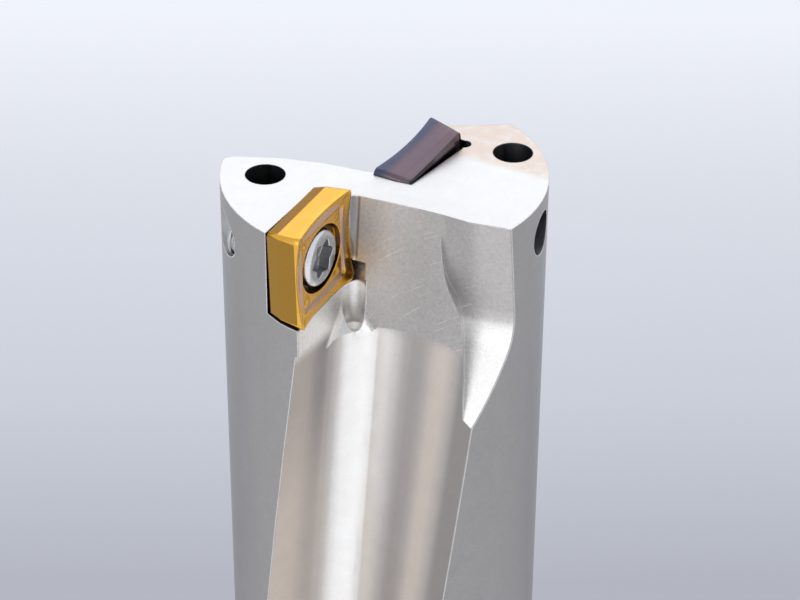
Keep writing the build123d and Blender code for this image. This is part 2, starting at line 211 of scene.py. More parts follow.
class ShaderGraph:
    """Builder of a node tree for a material or the world."""

    BEVEL_SAMPLES = 6

    def __init__(self, tree: bpy.types.NodeTree) -> None:
        """Empties the tree and keeps it.

        Args:
            tree: The node tree to fill.
        """
        self.tree = tree
        tree.nodes.clear()

    def make(self, kind: str, settings: dict | None = None, sockets: dict | None = None) -> bpy.types.Node:
        """Adds one node.

        Args:
            kind: The node's type without its ShaderNode prefix.
            settings: Its properties; "stops" sets a colour ramp's positions and colours.
            sockets: Values or links by input name or number.

        Returns:
            The new node.
        """
        node = self.tree.nodes.new("ShaderNode" + kind)
        for key, value in (settings or {}).items():
            if key == "stops":
                self._set_stops(node.color_ramp, value)
            else:
                setattr(node, key, value)
        for key, value in (sockets or {}).items():
            self._feed(node.inputs[key], value)
        return node

    def _feed(self, target: Socket, value: object) -> None:
        """Sets or links one input.

        Args:
            target: The input socket.
            value: A number, a colour, a Value or an output socket.
        """
        if isinstance(value, Value):
            value = value.socket
        if isinstance(value, Socket):
            self.tree.links.new(value, target)
        elif isinstance(value, tuple) and target.type == "RGBA":
            target.default_value = (*value, 1.0)
        else:
            target.default_value = value

    @staticmethod
    def _set_stops(ramp: bpy.types.ColorRamp, stops: Sequence[tuple[float, Colour]]) -> None:
        """Writes the stops of a colour ramp.

        Args:
            ramp: The ramp, which starts with two stops.
            stops: Position and colour of each stop, in order.
        """
        while len(ramp.elements) < len(stops):
            ramp.elements.new(1.0)
        for element, (position, colour) in zip(ramp.elements, stops):
            element.position = position
            element.color = (*colour, 1.0)

    def vector(self, operation: str, sockets: dict) -> bpy.types.Node:
        """Vector Math node."""
        return self.make("VectorMath", {"operation": operation}, sockets)

    def split(self, vector: Socket) -> tuple[Value, Value, Value]:
        """Components of a vector, as three values."""
        node = self.make("SeparateXYZ", None, {0: vector})
        return tuple(Value(self, out) for out in node.outputs)

    def join(self, x: Number, y: Number, z: Number = 0.0) -> Socket:
        """Vector from three numbers or values."""
        return self.make("CombineXYZ", None, {0: x, 1: y, 2: z}).outputs[0]

    def millimetres(self) -> Socket:
        """Position on the object in millimetres, as a vector."""
        source = self.make("TexCoord").outputs["Object"]
        return self.vector("SCALE", {0: source, "Scale": 1 / MM}).outputs[0]

    def place(self) -> tuple[Value, Value, Value]:
        """Position on the object in millimetres, as three values."""
        return self.split(self.millimetres())

    def facing(self) -> tuple[Value, Value, Value]:
        """Surface normal of the object, as three values."""
        return self.split(self.make("TexCoord").outputs["Normal"])

    def local(self, where: "InsertFrame") -> tuple[Value, ...]:
        """Position in an insert's own frame in millimetres.

        Args:
            where: The insert's frame.

        Returns:
            Distances towards the drill's axis, towards the tip and out of the rake.
        """
        offset = self.vector("SUBTRACT", {0: self.millimetres(), 1: where.origin}).outputs[0]
        axes = (where.x_dir, where.z_dir.cross(where.x_dir), where.z_dir)
        dots = [self.vector("DOT_PRODUCT", {0: offset, 1: axis}) for axis in axes]
        return tuple(Value(self, dot.outputs["Value"]) for dot in dots)

    def noise(self, vector: Socket, scale: float, detail: float = 3.0, roughness: float = 0.55) -> Value:
        """Fractal noise from 0 to 1.

        Args:
            vector: Where it is read.
            scale: Its scale.
            detail: Its number of octaves.
            roughness: How strong the fine octaves are.

        Returns:
            The noise value.
        """
        sockets = {"Vector": vector, "Scale": scale, "Detail": detail, "Roughness": roughness,
                   "Distortion": 0.0}
        return Value(self, self.make("TexNoise", {"noise_dimensions": "3D"}, sockets).outputs[0])

    def blend(self, amount: Number, first: object, second: object) -> Socket:
        """Colour mix.

        Args:
            amount: 0 gives the first colour and 1 the second.
            first: A colour or a colour socket.
            second: A colour or a colour socket.

        Returns:
            The mixed colour's socket.
        """
        return self.make("Mix", {"data_type": "RGBA"}, {0: amount, 6: first, 7: second}).outputs[2]

    def layers(self, colour: object, coats: Sequence[tuple[Number, object]]) -> Socket:
        """Colours laid over one another.

        Args:
            colour: The lowest colour.
            coats: Mask and colour of each further layer, from the lowest up.

        Returns:
            The resulting colour's socket.
        """
        for mask, coat in coats:
            colour = self.blend(mask, colour, coat)
        return colour

    def shade(self, colour: object, factor: Number) -> Socket:
        """Colour scaled by a value."""
        return self.vector("SCALE", {0: colour, "Scale": factor}).outputs[0]

    def edges(self, radius: float) -> tuple[Socket, Value]:
        """Rounding of the sharp edges.

        Args:
            radius: Radius of the rounding in millimetres.

        Returns:
            The rounded normal, and how far it leans from the flat one, from 0 to 1.
        """
        rounded = self.make("Bevel", {"samples": self.BEVEL_SAMPLES}, {"Radius": radius * MM}).outputs[0]
        flat = self.make("NewGeometry").outputs["Normal"]
        match = self.vector("DOT_PRODUCT", {0: rounded, 1: flat})
        return rounded, 1 - Value(self, match.outputs["Value"])

    def bump(self, height: Value, depth_um: float, normal: Socket | None = None) -> Socket:
        """Bumped normal.

        Args:
            height: Surface height from 0 to 1.
            depth_um: What a height of 1 stands for, in micrometres.
            normal: A normal to start from.

        Returns:
            The new normal's socket.
        """
        sockets = {"Height": height, "Strength": 1.0, "Distance": depth_um * 1e-6}
        if normal is not None:
            sockets["Normal"] = normal
        return self.make("Bump", None, sockets).outputs[0]

    def surface(self, sockets: dict) -> None:
        """Ends a material's tree with its shader.

        Args:
            sockets: Values or links of the shader's inputs by name.
        """
        shader = self.make("BsdfPrincipled", None, sockets)
        self.make("OutputMaterial", None, {"Surface": shader.outputs[0]})


@dataclass(frozen=True)
class InsertFrame:
    """Where an insert sits: the rake centre in millimetres and its axes."""

    origin: Vector
    x_dir: Vector
    z_dir: Vector

    @staticmethod
    def reach(roll: float) -> float:
        """Distance along the axis from an insert's centre to its tip, for a roll in radians."""
        straight = INSERT_HALF - INSERT_CORNER
        return straight * (math.cos(roll) + math.sin(roll)) + INSERT_CORNER

    @classmethod
    def of(cls, seat: Seat) -> "InsertFrame":
        """Frame of one of the two seats.

        Args:
            seat: Which seat.

        Returns:
            Its frame, with x towards the drill's axis, y towards the tip and z out of the rake.
        """
        roll = math.radians(seat.roll)
        centre_z = END_Z + seat.tip - cls.reach(roll)
        if seat is Seat.PERIPHERAL:
            return cls(Vector((cls.reach(roll) - CUT_RADIUS, PERIPHERAL_RAKE_Y, centre_z)),
                       Vector((math.cos(roll), 0, math.sin(roll))), Vector((0, -1, 0)))
        turn = math.radians(CENTRAL_TURN)
        inward = Vector((-math.cos(turn), math.sin(turn), 0))
        x_dir = inward * math.cos(roll) - Vector((0, 0, 1)) * math.sin(roll)
        outward = Vector((math.sin(turn), math.cos(turn), 0))
        return cls(Vector((CENTRAL_X, CENTRAL_Y, centre_z)), x_dir, outward)

    def matrix(self) -> Matrix:
        """Transform from the insert's millimetres to the drill's metres.

        Returns:
            The transform.
        """
        y_dir = self.z_dir.cross(self.x_dir)
        turn = Matrix((self.x_dir, y_dir, self.z_dir)).transposed().to_4x4()
        return Matrix.Scale(MM, 4) @ Matrix.Translation(self.origin) @ turn


def polar(radius: float, angle: float, z: float) -> Vector:
    """Point at a distance and direction from the z axis."""
    return Vector((radius * math.cos(angle), radius * math.sin(angle), z))


def new_material(name: str) -> tuple[bpy.types.Material, ShaderGraph]:
    """Empty node material.

    Args:
        name: The material's name.

    Returns:
        The material and a builder for its nodes.
    """
    material = bpy.data.materials.new(name)
    material.use_nodes = True
    return material, ShaderGraph(material.node_tree)


@dataclass(frozen=True)
class Region:
    """Round part of the drill body at a place: where its mask fades outwards, at its foot and at its head."""

    radius: Span
    foot: Span
    head: Span
    x: float = 0.0
    y: float = 0.0

    def mask(self, x: Value, y: Value, z: Value) -> Value:
        """Value that is 1 inside the region."""
        return inside(((x - self.x).hypot(y - self.y), self.radius), (z, self.foot), (z, self.head))


class BodyRegions:
    """Masks of the drill body's regions. A span gives where a mask is 0 and where it is 1."""

    RIM = (BODY_RADIUS - 0.14, BODY_RADIUS - 0.06)
    RIM_FOOT = (COLLAR_Z - 0.5, COLLAR_Z)
    COLLAR = (COLLAR_Z + 0.3, COLLAR_Z - 0.3)
    INLET, INLET_HEAD = (7.4, 7.0), (52.5, 50.5)
    CHANNEL, CHANNEL_UP = (CHANNEL_RADIUS + 0.16, CHANNEL_RADIUS + 0.08), (0.6, 0.4)
    POCKET_SIDE, POCKET_TIPWARD = (5.22, 5.18), (4.9, 4.86)
    POCKET_FLOOR, POCKET_MOUTH = (-3.78, -3.74), (-0.3, -0.5)
    POCKET_HEAD = (END_Z - 0.04, END_Z - 0.08)
    POCKET_RIM = (BODY_RADIUS - 0.03, BODY_RADIUS - 0.06)
    HOLE, HOLE_MOUTH, HOLE_RIM = (2.22, 2.14), (-3.9, -4.1), (BODY_RADIUS - 0.02, BODY_RADIUS - 0.06)
    END_FOOT, END_UP = (END_Z - 0.15, END_Z - 0.05), (0.8, 0.95)
    FLUTE_HEAD, FLUTE_UP, FLUTE_LEAN = (168.0, 166.0), (0.045, 0.025), 0.0105
    TIP_END = (END_Z - 30.0, END_Z - 26.0)
    TURNED_OUT, SLOPE_OUT, SLOPE_UP = (-0.10, -0.14), (0.0, 0.14), (0.2, 0.3)
    FACET, RISE, RISE_HEAD = (-10.0, -12.0), (-8.5, -11.0), (171.5, 165.0)
    SEAT_WALL, SEAT_WALL_FOOT, SEAT_WALL_SIDE = (0.3, 0.5), (164.9, 165.5), (-5.5, -6.3)
    FILLET_FRONT, FILLET_BACK = (-0.2, -0.05), (0.75, 0.55)
    BEND_X, BEND_Y, BEND_FOOT, BEND_RIM = (-7.0, -6.6), (-5.0, -6.0), (156.0, 158.0), (14.4, 14.1)
    GROOVE = Region((1.22, 1.16), (END_Z - 13.9, END_Z - 13.7), (END_Z - 8.0, END_Z - 8.4), -5.9, -0.05)
    FILLET = Region((0.9, 0.8), (172.6, 173.2), (END_Z - 0.05, END_Z - 0.15), -5.2, 0.2)
    # Place of the painted shade that stands for the corner relief's hole on the flat seat wall.
    RELIEF_SHADE = Region((1.4, 1.3), (170.0, 170.3), (172.7, 172.5), -4.9, 0.3)
    BESIDE_INSERT = Region((1.3, 1.1), (171.0, 172.0), (END_Z - 0.3, END_Z - 0.5), -5.4, 0.3)

    def __init__(self, g: ShaderGraph) -> None:
        """Adds the masks to a material.

        Args:
            g: The material's graph.
        """
        x, y, z = self.place = g.place()
        _, sideways, self.up = g.facing()
        self.spot = g.join(x, y, z)
        self.radius = x.hypot(y)
        spin = (END_Z - z) * (2 * math.pi / FLUTE_LEAD)
        self.flat_x = x * spin.cos() - y * spin.sin()
        self.flat_y = x * spin.sin() + y * spin.cos()
        self.bore_shade = self._bores()
        self.pocket_shade, self.hole_shade = self._pockets(g)
        solid = 1 - self.bore_shade.most(self.hole_shade)
        rim = inside((self.radius, self.RIM), (z, self.RIM_FOOT))
        self.ground = rim.most(z.step(*self.COLLAR)) * solid
        self.end = inside((z, self.END_FOOT), (self.up, self.END_UP))
        lean = self.up - self.radius * self.FLUTE_LEAN
        self.flute = inside((z, self.FLUTE_HEAD), (lean, self.FLUTE_UP)) * (1 - self.ground) * solid
        within = (1 - self.ground) * (1 - self.end)
        self.cut = within * solid
        self.milled = self.cut * (1 - self.flute)
        outward = sideways.step(*self.TURNED_OUT) * within
        tip_end = z.step(*self.TIP_END)
        leaning = (outward * self.up.step(*self.SLOPE_OUT)).most(self.cut * self.up.step(*self.SLOPE_UP))
        self.slope = leaning * tip_end
        self.facet = outward * tip_end * y.step(*self.FACET)
        self.rise = outward * tip_end * inside((y, self.RISE), (z, self.RISE_HEAD))
        self.seat_wall = within * (1 - self.flute) * inside(
            (y, self.SEAT_WALL), (z, self.SEAT_WALL_FOOT), (x, self.SEAT_WALL_SIDE))
        self.groove = self.GROOVE.mask(x, y, z)
        # Where shade is painted in the fillet beside the insert.
        self.fillet_shade = self.FILLET.mask(x, y, z) * inside((y, self.FILLET_FRONT), (y, self.FILLET_BACK))
        self.relief_shade = self.RELIEF_SHADE.mask(x, y, z)
        # Where no painted edge highlight goes: the bend and beside the insert.
        bend = inside((x, self.BEND_X), (y, self.BEND_Y), (z, self.BEND_FOOT), (self.radius, self.BEND_RIM))
        self.edge_highlight_off = bend.most(self.BESIDE_INSERT.mask(x, y, z))

    def _bores(self) -> Value:
        """Mask of the painted shade in the coolant inlet and in the two channels that twist with the flutes.

        Returns:
            A value from 0 to 1.
        """
        bore_shade = inside((self.place[2], self.INLET_HEAD), (self.radius, self.INLET))
        for reach, angle in CHANNELS:
            centre = polar(reach, math.radians(angle), 0.0)
            away = (self.flat_x - centre.x).hypot(self.flat_y - centre.y)
            bore_shade = bore_shade.most(inside((away, self.CHANNEL), (self.up, self.CHANNEL_UP)))
        return bore_shade

    def _pockets(self, g: ShaderGraph) -> tuple[Value, Value]:
        """Masks of the insert pockets and of their tapped holes, where shade is painted.

        Args:
            g: The material's graph.

        Returns:
            Two values from 0 to 1.
        """
        pockets, holes = [], []
        for seat in Seat:
            side, tipward, out = g.local(InsertFrame.of(seat))
            pockets.append(inside(
                (abs(side), self.POCKET_SIDE), (abs(tipward), self.POCKET_TIPWARD),
                (out, self.POCKET_FLOOR), (out, self.POCKET_MOUTH),
                (self.place[2], self.POCKET_HEAD), (self.radius, self.POCKET_RIM)))
            holes.append(inside((side.hypot(tipward), self.HOLE), (out, self.HOLE_MOUTH),
                                (self.radius, self.HOLE_RIM)))
        return pockets[0].most(pockets[1]), holes[0].most(holes[1])


class SteelMarks:
    """Grain of the drill body's steel and the marks of its milling, grinding and brushing."""

    MILL_Y, MILL_Z = -17.0, 157.0
    SWEEP_X, SWEEP_Y = 30.0, -18.0
    SCRATCH, SCRATCHED = (0.60, 0.72), (0.42, 0.62)
    WAVINESS = 0.8

    def __init__(self, g: ShaderGraph, r: BodyRegions) -> None:
        """Adds the marks to a material.

        Args:
            g: The material's graph.
            r: The body's regions.
        """
        x, y, z = r.place
        turn = y.angle_from(x)
        arcs = (y - self.MILL_Y).hypot(z - self.MILL_Z)
        sweep = (x - self.SWEEP_X).hypot(y - self.SWEEP_Y)
        self.grain = g.noise(r.spot, 0.55, 4.0, 0.6)
        self.speck = g.noise(r.spot, 3.2, 3.0, 0.7)
        self.grit = g.noise(r.spot, 8.0, 2.0, 0.75)
        self.patch = g.noise(r.spot, 0.8, 3.0, 0.6)
        self.streaks = g.noise(g.join(r.flat_x, r.flat_y, z * 0.01), 1.1, 3.0, 0.5)
        self.fine = g.noise(g.join(r.flat_x * 6.0, r.flat_y * 6.0, z * 0.06), 1.5, 3.0, 0.6)
        self.turned = g.noise(g.join(turn * 2.0, z * 9.0), 1.6, 3.0, 0.65)
        self.swirl = g.noise(g.join(arcs * 5.0, x * 0.6), 1.0, 3.0, 0.65)
        self.sweeps = g.noise(g.join(sweep * 4.0, turn * 0.4), 1.0, 3.0, 0.65)
        self.scratch = (g.noise(g.join(arcs * 7.0, (y + z) * 0.35), 1.3, 2.0, 0.6).step(*self.SCRATCH)
                        * g.noise(r.spot, 0.5, 2.0).step(*self.SCRATCHED))
        # Position across the flute, made wavy by the streaks; the flute's painted reflection bands follow it.
        near = 1 - 2 * r.flat_x.step(-0.1, 0.1)
        self.across = (r.flat_x - r.flat_y) * near + (self.streaks - 0.5) * self.WAVINESS


@dataclass(frozen=True)
class MachinedSteel:
    """Finish of the drill body: ground outside, milled end face and gullets, brushed flutes. Its colours also
    hold painted light: painted reflection bands in the flutes, painted light on the gullet wall and the slopes,
    painted edge highlights, and painted shade in the fillet, the relief, the pockets, the holes and the bores.
    """

    # The gullet wall's colour is painted light: it turns from the darker wall tone to a lighter one towards the
    # groove.
    wall: Colour = (0.43, 0.415, 0.405)
    wall_painted_light: Colour = (0.57, 0.555, 0.545)
    wall_turn: Span = (-7.0, -2.0)
    wall_shade: float = 0.96
    seat_wall: Colour = (0.98, 0.95, 0.91)
    groove: Colour = (0.95, 0.93, 0.90)
    # Painted shade in the fillet beside the insert.
    fillet_shade: Colour = (0.24, 0.225, 0.22)
    fillet_depth: float = 0.9
    # Painted shade: a dark patch on the flat seat wall stands for the corner relief's hole.
    relief_shade: Colour = (0.20, 0.15, 0.13)
    relief_shade_depth: float = 0.7
    facet: Colour = (0.54, 0.52, 0.51)
    # Painted light on the slopes: the blend tone where a slope faces sideways, the ramp tone where it faces up.
    blend: Colour = (0.84, 0.83, 0.815)
    ramp: Colour = (0.72, 0.705, 0.69)
    ramp_up: Span = (0.26, 0.44)
    rise_depth: float = 0.8
    scratch_head: Span = (178.0, 168.0)
    ground: Colour = (0.37, 0.36, 0.36)
    # Flute colours: painted reflection, with a painted highlight band, painted shade flanks, and warm and left
    # painted reflection bands.
    painted_highlight: Colour = (1.0, 0.975, 0.95)
    highlight_left: Span = (-9.4, -5.6)
    highlight_right: Span = (1.7, -2.1)
    painted_shade: Colour = (0.41, 0.38, 0.365)
    warm_reflection: Colour = (0.62, 0.55, 0.495)
    warm_left: Span = (2.4, 4.6)
    warm_right: Span = (7.1, 5.1)
    right_side: Span = (6.2, 7.6)
    right_painted_shade: float = 0.24
    left_reflection: Colour = (0.76, 0.68, 0.61)
    left_side: Span = (-6.0, -8.0)
    left_fade: Span = (-12.2, -9.6)
    left_fade_depth: float = 0.48
    left_head: Span = (146.0, 164.0)
    left_head_depth: float = 0.5
    left_rough: Span = (-7.0, -9.5)
    left_roughness: float = 0.25
    end_face: Colour = (0.865, 0.86, 0.855)
    tinted: Colour = (0.80, 0.69, 0.62)
    tint_side: Span = (5.2, 6.6)
    tint_patch: Span = (0.3, 0.55)
    # Painted highlight along the rounded edges.
    edge: Colour = (0.95, 0.94, 0.93)
    edge_lean: Span = (0.02, 0.16)
    edge_radius: float = 0.17
    # Painted shade in the insert pockets.
    pocket_shade: Colour = (0.05, 0.045, 0.042)
    # Painted shade inside the coolant bores.
    bore_shade: Colour = (0.12, 0.12, 0.13)
    # Painted shade inside the tapped holes.
    hole_shade: Colour = (0.38, 0.38, 0.39)
    roughness: float = 0.42
    flute_roughness: float = 0.36
    end_roughness: float = 0.45
    anisotropy: float = 0.35
    brush_turn: float = 0.25
    uneven: float = 0.10
    uneven_milled: float = 0.34
    uneven_ground: float = 0.14
    relief_um: float = 12.0

    def flute_colour(self, g: ShaderGraph, r: BodyRegions, u: Value) -> Socket:
        """Painted reflection across a flute: a painted highlight band between painted shade flanks that turn
        warm.

        Args:
            g: The material's graph.
            r: The body's regions.
            u: Position across the flute in millimetres.

        Returns:
            The colour's socket.
        """
        fade = (u.step(*self.left_fade) * self.left_fade_depth
                + r.place[2].step(*self.left_head) * self.left_head_depth)
        left_reflection = g.blend(fade, self.left_reflection, self.painted_shade)
        right = g.blend(inside((u, self.warm_left), (u, self.warm_right)), self.painted_shade, self.warm_reflection)
        right = g.shade(right, 1 - self.right_painted_shade * u.step(*self.right_side))
        painted_highlight = inside((u, self.highlight_left), (u, self.highlight_right))
        return g.layers(right, ((u.step(*self.left_side), left_reflection), (painted_highlight, self.painted_highlight)))

    def colour(self, g: ShaderGraph, r: BodyRegions, marks: SteelMarks, lean: Value) -> Socket:
        """Colour of the whole body.

        Args:
            g: The material's graph.
            r: The body's regions.
            marks: The steel's grain and marks.
            lean: How far the rounded normal leans at the edges.

        Returns:
            The colour's socket.
        """
        x, y, z = r.place
        # Painted light: the wall turns lighter towards the groove.
        wall = g.shade(g.blend(y.step(*self.wall_turn), self.wall, self.wall_painted_light), self.wall_shade)
        worn = z.step(*self.scratch_head) * 0.5 + 0.25
        tint = x.step(*self.tint_side) * (0.55 + 0.45 * marks.patch.step(*self.tint_patch))
        colour = g.layers(wall, (
            # The flute's colour holds painted reflection bands.
            (r.flute, self.flute_colour(g, r, marks.across)),
            (marks.scratch * worn * r.milled, self.groove),
            (r.facet, self.facet),
            (r.rise * self.rise_depth, self.ramp),
            # Painted light on the slopes, following how far they face up.
            (r.slope, g.blend(r.up.step(*self.ramp_up), self.blend, self.ramp)),
            (r.seat_wall, self.seat_wall),
            (r.groove, self.groove),
            # Painted shade in the fillet beside the insert.
            (r.fillet_shade * self.fillet_depth, self.fillet_shade),
            # Painted shade of the corner relief's hole on the flat seat wall.
            (r.relief_shade * r.cut * self.relief_shade_depth, self.relief_shade),
            (r.ground, self.ground),
            (r.end, g.blend(tint, self.end_face, self.tinted)),
            # Painted highlight along the rounded edges, left out in the bend and beside the insert.
            (lean.step(*self.edge_lean) * (1 - r.edge_highlight_off), self.edge),
            # Painted shade in the insert pockets.
            (r.pocket_shade, self.pocket_shade),
            # Painted shade inside the tapped holes.
            (r.hole_shade, self.hole_shade),
            # Painted shade inside the coolant bores.
            (r.bore_shade, self.bore_shade)))
        rugged = self.uneven + self.uneven_milled * r.milled + self.uneven_ground * r.ground
        specks = 1 + rugged * (marks.speck + marks.grit - 1.0)
        return g.shade(colour, (0.92 + 0.16 * marks.grain) * specks)

    def roughened(self, r: BodyRegions, marks: SteelMarks) -> Value:
        """Roughness of the whole body.

        Args:
            r: The body's regions.
            marks: The steel's grain and marks.

        Returns:
            The roughness.
        """
        rough = self.roughness + r.flute * (self.flute_roughness - self.roughness)
        rough = rough + r.flute * marks.across.step(*self.left_rough) * self.left_roughness
        rough = rough.towards(self.roughness, r.ground).towards(self.end_roughness, r.end)
        return rough + 0.10 * (marks.speck - 0.5) + 0.08 * (marks.grain - 0.5)

    def material(self) -> bpy.types.Material:
        """Builds the material.

        Returns:
            The drill body's material.
        """
        material, g = new_material(Slot.BODY.value + "_finish")
        r = BodyRegions(g)
        marks = SteelMarks(g, r)
        rounded, lean = g.edges(self.edge_radius)
        height = (r.ground * marks.turned * 0.30
                  + r.flute * (marks.fine * 0.25 + marks.streaks * 0.3)
                  + r.milled * (marks.swirl * 1.1 + marks.speck * 0.8)
                  + r.end * (marks.sweeps * 0.35 + marks.speck * 0.15))
        g.surface({"Base Color": self.colour(g, r, marks, lean), "Metallic": 1.0,
                   "Roughness": self.roughened(r, marks), "Anisotropic": self.anisotropy,
                   "Anisotropic Rotation": self.brush_turn,
                   "Normal": g.bump(height, self.relief_um, rounded)})
        return material


@dataclass(frozen=True)
class HardCoating:
    """Thin coating on a ground carbide insert, duller in the chip groove, with painted shade inside the hole,
    on the side flanks, on the lower facets of the tip flanks and along the back.
    """

    slot: Slot
    base: Colour
    cloud: Colour
    edge: Colour
    groove: Colour
    land: Colour
    # Painted shade inside the screw hole.
    hollow_shade: Colour
    roughness: float = 0.26
    groove_roughness: float = 0.40
    mottle: float = 0.5
    cloud_size: float = 0.35
    cloud_rise: Span = (0.35, 0.65)
    bare: Span = (0.62, 0.8)
    slant: Span = (-0.3, 0.3)
    band_half: float = 4.2
    band_shift: float = 0.19
    band_waist: float = 0.55
    band_edge: Span = (0.03, -0.03)
    band_inner: Span = (3.32, 3.4)
    band_inner_shift: float = 0.15
    band_top: Span = (-0.95, -0.85)
    land_side: Span = (4.68, 4.6)
    land_top: Span = (-0.6, -0.55)
    # Span of the painted shade inside the screw hole.
    hole_shade: Span = (3.4, 3.36)
    hole_top: Span = (-0.53, -0.58)
    flank_top: Span = (-0.42, -0.5)
    face: Span = (4.0, 4.12)
    face_ends: Span = (4.3, 4.15)
    # Painted shade on the side flanks and on the lower facets of the tip flanks.
    side_painted_shade: Colour = (0.36, 0.195, 0.032)
    lower_painted_shade: Colour = (0.40, 0.185, 0.014)
    lower_depth: float = 2.32
    # Painted shade along the back edge and under the insert; the value is how much light is left there.
    back_shade: float = 0.12
    back_depth: float = 3.45
    back_side: Span = (-4.05, -4.2)
    underside: Span = (-3.56, -3.6)
    depth_tint: float = 0.0
    tint_depth: Span = (-0.5, -1.7)

    def material(self, where: InsertFrame) -> bpy.types.Material:
        """Builds the material.

        Args:
            where: The insert's frame.

        Returns:
            The insert's material.
        """
        material, g = new_material(self.slot.value + "_finish")
        side, tipward, out = g.local(where)
        spot = g.join(side, tipward, out)
        grain = g.noise(spot, 1.1, 4.0, 0.62)
        fine = g.noise(spot, 7.0, 2.0, 0.6)
        lines = g.noise(g.join(side * 0.4, tipward * 0.4, out * 9.0), 1.2, 2.0, 0.6)
        patch = g.noise(spot, self.cloud_size, 3.0, 0.6)
        from_side, from_tip = abs(side), abs(tipward)
        wide = from_side.most(from_tip)
        near = from_side.least(from_tip) * 0.32
        slant = (tipward - side).step(*self.slant)
        outer = self.band_half + slant * self.band_shift - self.band_waist * near * near * near
        band = inside((wide - outer, self.band_edge), (out, self.band_top),
                      (wide - slant * self.band_inner_shift, self.band_inner))
        tint = (patch.step(*self.cloud_rise) * (1 - self.depth_tint)
                + out.step(*self.tint_depth) * self.depth_tint)
        lower = (0.02 - self.lower_depth, -0.02 - self.lower_depth)
        colour = g.layers(self.base, (
            (tint * self.mottle, self.cloud),
            (grain.step(*self.bare) * 0.25, self.edge),
            (inside((wide, self.land_side), (out, self.land_top)) * 0.7, self.land),
            (band * 0.85, g.shade(self.groove, 0.82 + 0.18 * slant)),
            # Painted shade inside the screw hole.
            (inside((side.hypot(tipward), self.hole_shade), (out, self.hole_top)), self.hollow_shade),
            # Painted shade on the side flanks and on the lower facets of the tip flanks.
            (inside((from_side, self.face), (from_tip, self.face_ends), (out, self.flank_top)), self.side_painted_shade),
            (inside((from_tip, self.face), (from_side, self.face_ends), (out, lower)), self.lower_painted_shade)))
        # Painted shade along the back edge and on the underside.
        behind = out.step(0.03 - self.back_depth, -0.03 - self.back_depth)
        behind = behind.least(1 - side.step(*self.back_side)).most(out.step(*self.underside))
        colour = g.shade(colour, 1 - behind * (1 - self.back_shade))
        rough = self.roughness + band * (self.groove_roughness - self.roughness)
        g.surface({"Base Color": g.shade(colour, 0.95 + 0.10 * fine), "Metallic": 1.0,
                   "Roughness": rough + 0.10 * (grain - 0.5) + 0.05 * (fine - 0.5),
                   "Coat Weight": 0.04, "Coat Roughness": 0.2,
                   "Normal": g.bump(fine * 0.5 + lines * 0.35, 1.2)})
        return material


@dataclass(frozen=True)
class ScrewSteel:
    """Turned steel of the insert screws, with a painted highlight on the head's rim, painted shade inside the
    socket and a painted shadow at the head's lower edge.
    """

    base: Colour = (0.84, 0.84, 0.86)
    face: Colour = (0.56, 0.56, 0.57)
    # Painted highlight on the head's rim, brighter than the face.
    rim_highlight: Span = (2.0, 2.25)
    # Painted shade inside the socket.
    socket_shade: Colour = (0.46, 0.46, 0.47)
    socket: Span = (1.96, 1.88)
    socket_top: Span = (-0.44, -0.58)
    shadow: Colour = (0.06, 0.055, 0.055)
    head_rim: Span = (2.58, 2.66)
    head_under: Span = (-0.98, -1.08)
    roughness: float = 0.26

    def material(self, where: InsertFrame) -> bpy.types.Material:
        """Builds the material.

        Args:
            where: The frame of the insert that the screw holds.

        Returns:
            The screw's material.
        """
        material, g = new_material(Slot.SCREW.value + "_finish")
        side, tipward, out = g.local(where)
        radius = side.hypot(tipward)
        turned = g.noise(g.join(radius * 14.0, out * 14.0), 1.0, 2.0, 0.6)
        grain = g.noise(g.join(side, tipward, out), 3.0, 3.0, 0.6)
        in_socket = inside((out, self.socket_top), (radius, self.socket))
        # Painted light on the head: a painted highlight on the rim, painted shade in the socket and a painted
        # shadow at the head's lower edge.
        colour = g.layers(self.face, (
            (radius.step(*self.rim_highlight), self.base),
            (in_socket * 0.85, self.socket_shade),
            (inside((radius, self.head_rim), (out, self.head_under)), self.shadow)))
        g.surface({"Base Color": g.shade(colour, 0.9 + 0.2 * grain), "Metallic": 1.0,
                   "Roughness": self.roughness + 0.1 * (grain - 0.5) + in_socket * 0.10,
                   "Normal": g.bump(turned * 0.6 + grain * 0.4, 2.0)})
        return material


@dataclass(frozen=True)
class PaleFloor:
    """Pale floor whose tone deepens softly behind the drill as painted shade."""

    pale: Colour = (0.87, 0.88, 0.90)
    # Painted shade on the floor: along the view the tone darkens behind the drill and turns pale again farther
    # back.
    shade_tones: tuple[tuple[float, Colour], ...] = (
        (0.00, (0.87, 0.88, 0.90)), (0.33, (0.46, 0.475, 0.53)), (0.41, (0.45, 0.466, 0.526)),
        (0.55, (0.583, 0.61, 0.672)), (0.75, (0.693, 0.716, 0.777)), (0.97, (0.85, 0.873, 0.924)))
    reach: float = 400.0
    bearing: float = 27.6
    side_fade: Span = (130.0, 250.0)
    widening: float = 0.2

    def material(self) -> bpy.types.Material:
        """Builds the material.

        Returns:
            The floor's material.
        """
        material, g = new_material("pale_floor")
        x, y, _ = g.place()
        ahead, aside = math.cos(math.radians(self.bearing)), math.sin(math.radians(self.bearing))
        along = x * ahead + y * aside
        across = abs(y * ahead - x * aside) - along * self.widening
        # Painted shade along the view, faded to pale at the sides.
        ramp = g.make("ValToRGB", {"stops": list(self.shade_tones)}, {0: along / self.reach})
        g.surface({"Base Color": g.blend(across.step(*self.side_fade), ramp.outputs[0], self.pale),
                   "Roughness": 0.9, "Specular IOR Level": 0.1})
        return material


def new_object(name: str, data: bpy.types.ID) -> bpy.types.Object:
    """Object with the given data, linked to the scene.

    Args:
        name: The object's name.
        data: Its mesh, light or camera.

    Returns:
        The object.
    """
    made = bpy.data.objects.new(name, data)
    bpy.context.collection.objects.link(made)
    return made


